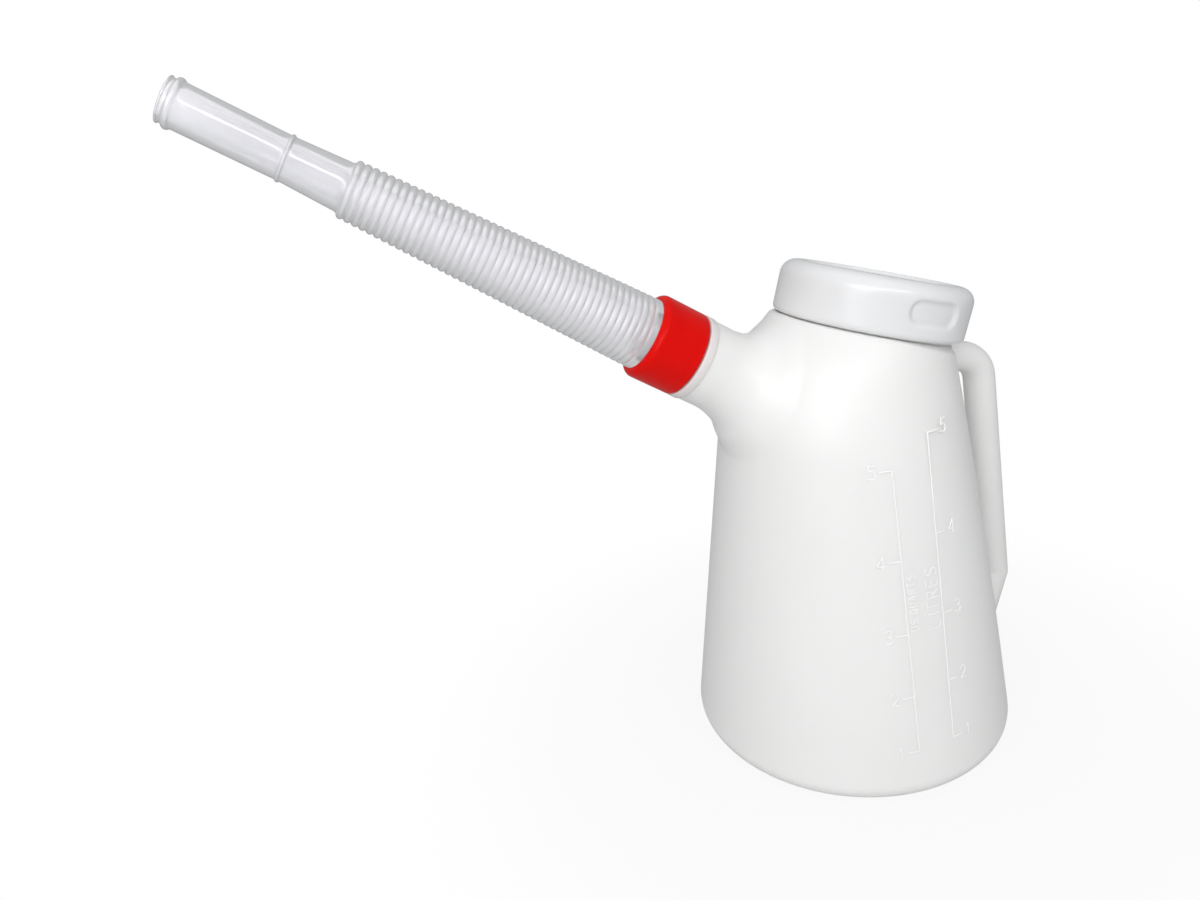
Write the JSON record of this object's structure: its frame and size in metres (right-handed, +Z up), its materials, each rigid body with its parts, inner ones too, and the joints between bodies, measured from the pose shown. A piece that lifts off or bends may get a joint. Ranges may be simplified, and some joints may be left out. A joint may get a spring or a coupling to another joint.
{
  "type": "oil jug",
  "caption": "Translucent measuring jug with a wide tilted mouth and push-on lid, side handle, and a ribbed flexible pouring spout held to a side neck by a red ring nut.",
  "frame": {"origin": "middle of the ring that the jug stands on, in the standing plane", "axes": "+Z up, the spout points to -X, the handle is at +X, and the measuring scale faces -Y"},
  "size_m": [0.4587, 0.2015, 0.435],
  "materials": {
    "natural_body": "natural translucent polyethylene, blow moulded, soft sheen",
    "natural_lid": "milky injection moulded polyethylene, smooth",
    "red_nut": "glossy red polypropylene",
    "natural_spout": "translucent flexible polyethylene, glossy"
  },
  "bodies": {
    "jug": {"jug_body": "natural_body"},
    "lid": {"lid": "natural_lid"},
    "nut": {"ring_nut": "red_nut"},
    "spout": {"spout_hose": "natural_spout"},
    "spout_end": {"spout_tube": "natural_spout"}
  },
  "joints": [
    {"name": "lid_lift", "type": "slide", "parent": "jug", "child": "lid", "axis": [0.2874, 0, 0.9578], "range_m": [0, 0.12]},
    {"name": "nut_unscrew", "type": "slide", "parent": "jug", "child": "nut", "axis": [-0.8231, 0, 0.5678], "range_m": [0, 0.03]},
    {"name": "spout_turn", "type": "hinge", "parent": "jug", "child": "spout", "pos_m": [-0.11647, 0, 0.27937], "axis": [-0.8231, 0, 0.5678], "continuous": true},
    {"name": "spout_bend", "type": "hinge", "parent": "spout", "child": "spout_end", "pos_m": [-0.19055, 0, 0.33047], "axis": [0, 1, 0], "range_deg": [-35, 35], "deforming": ["spout_hose"]}
  ]
}
